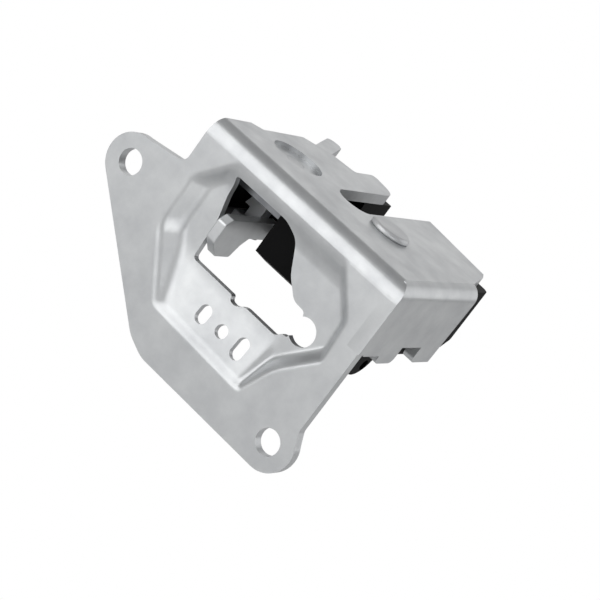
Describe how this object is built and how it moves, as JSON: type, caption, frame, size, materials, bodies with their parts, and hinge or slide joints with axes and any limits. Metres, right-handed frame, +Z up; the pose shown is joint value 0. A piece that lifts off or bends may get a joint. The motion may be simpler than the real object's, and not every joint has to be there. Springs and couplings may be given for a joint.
{
  "type": "trunk lock",
  "caption": "Rotary claw latch for a boot lid: folded steel bracket with a pressed recess and a striker slot, plastic case, claw, pawl and key and cable release lever.",
  "frame": {"origin": "centre of the left fixing hole on the mounting face", "axes": "+X along the fold of the bracket, +Y from the mounting face to the back of the lock, +Z up, away from the plate's lower edge"},
  "size_m": [0.0876, 0.0753, 0.0598],
  "materials": {
    "zinc_steel": "zinc plated, satin",
    "black_plastic": "moulded, fine grain",
    "dark_steel": "oiled steel",
    "coat_plastic": "moulded over the claw",
    "spring_steel": "drawn wire",
    "bush_plastic": "natural nylon",
    "rubber": "matt",
    "bright_steel": "zinc plated, bright"
  },
  "bodies": {
    "frame": {"bracket": "zinc_steel", "case": "black_plastic", "backing_plate": "dark_steel", "spring_peg": "dark_steel", "claw_rivet": "bright_steel", "claw_spring": "spring_steel", "pawl_spring": "spring_steel", "spindle_bush": "bush_plastic", "striker_buffer": "rubber", "claw_stop_pad": "rubber", "case_screws": "dark_steel"},
    "claw": {"claw": "dark_steel", "claw_cover": "coat_plastic", "claw_bush": "bush_plastic"},
    "pawl": {"pawl": "dark_steel"},
    "release": {"release_spindle": "bright_steel", "key_lever": "zinc_steel", "lever_clip": "spring_steel", "cable_lever": "zinc_steel"}
  },
  "joints": [
    {"name": "claw_pivot", "type": "hinge", "parent": "frame", "child": "claw", "pos_m": [0.0553, 0.027, 0], "axis": [0, 0, 1], "range_deg": [0, 55]},
    {"name": "pawl_pivot", "type": "hinge", "parent": "frame", "child": "pawl", "pos_m": [0.0261, 0.022, 0], "axis": [0, 0, 1], "range_deg": [-11.5, 3]},
    {"name": "release_pivot", "type": "hinge", "parent": "frame", "child": "release", "pos_m": [0.0261, 0.022, 0], "axis": [0, 0, 1], "range_deg": [0, 17]}
  ]
}
